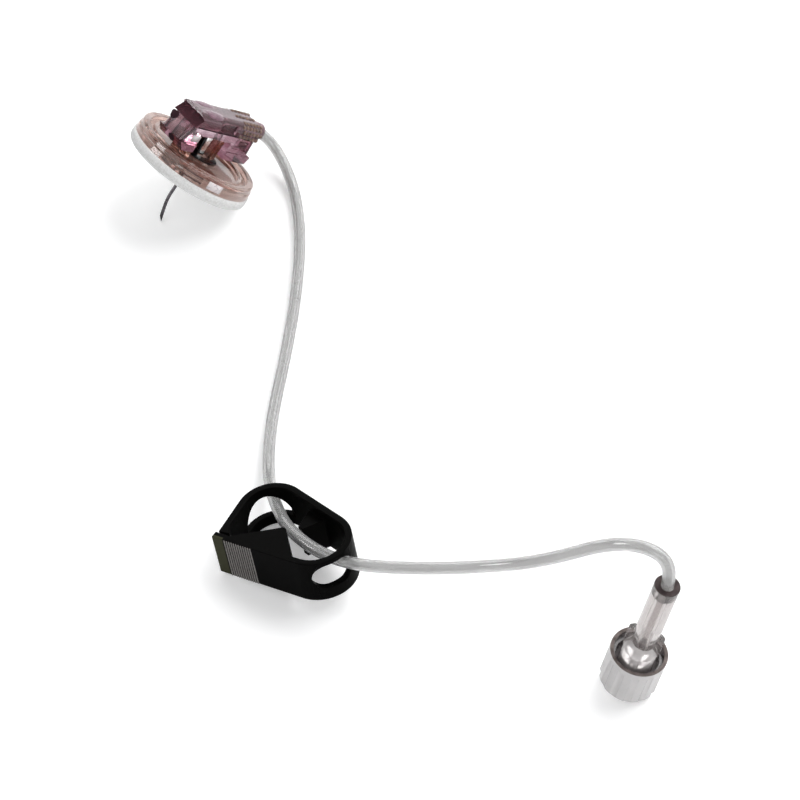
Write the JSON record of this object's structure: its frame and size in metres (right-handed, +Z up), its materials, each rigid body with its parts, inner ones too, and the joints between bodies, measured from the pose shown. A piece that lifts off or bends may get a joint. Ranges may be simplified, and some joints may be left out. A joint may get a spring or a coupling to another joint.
{
  "type": "huber needle set",
  "caption": "Angled port needle set: padded base disc, clear hub with a bent cannula, clear tube, black pinch clamp and a capped connector.",
  "frame": {"origin": "on the floor, under the middle of the box round the padded base, hub and cannula as they lie", "axes": "+Z up from the floor; +X to the right and +Y away from the viewer, as the set lies in the picture"},
  "size_m": [0.1059, 0.143, 0.0415],
  "materials": {
    "foam": "soft white foam",
    "base": "clear pink moulding",
    "clip": "dark spring steel",
    "hub": "clear lilac moulding",
    "ferrule": "bright steel",
    "cannula": "drawn steel",
    "tube": "clear soft tube",
    "clamp": "black moulding",
    "connector": "clear moulding",
    "cap": "clear moulding"
  },
  "bodies": {
    "hub": {"hub_lower_shell": "hub", "hub_cover": "hub", "needle_ferrule": "ferrule", "needle": "cannula", "tubing": "tube", "pinch_clamp": "clamp", "luer_connector": "connector"},
    "base": {"base_disc": "base", "foam_pad": "foam", "tip_guard_clip": "clip"},
    "cap": {"luer_cap": "cap"}
  },
  "joints": [
    {"name": "base_slide", "type": "slide", "parent": "hub", "child": "base", "axis": [-0.5637, -0.4021, -0.7215], "range_m": [0, 0.013]},
    {"name": "cap_off", "type": "slide", "parent": "hub", "child": "cap", "axis": [-0.1727, 0.0305, -0.9845], "range_m": [0, 0.014]}
  ]
}
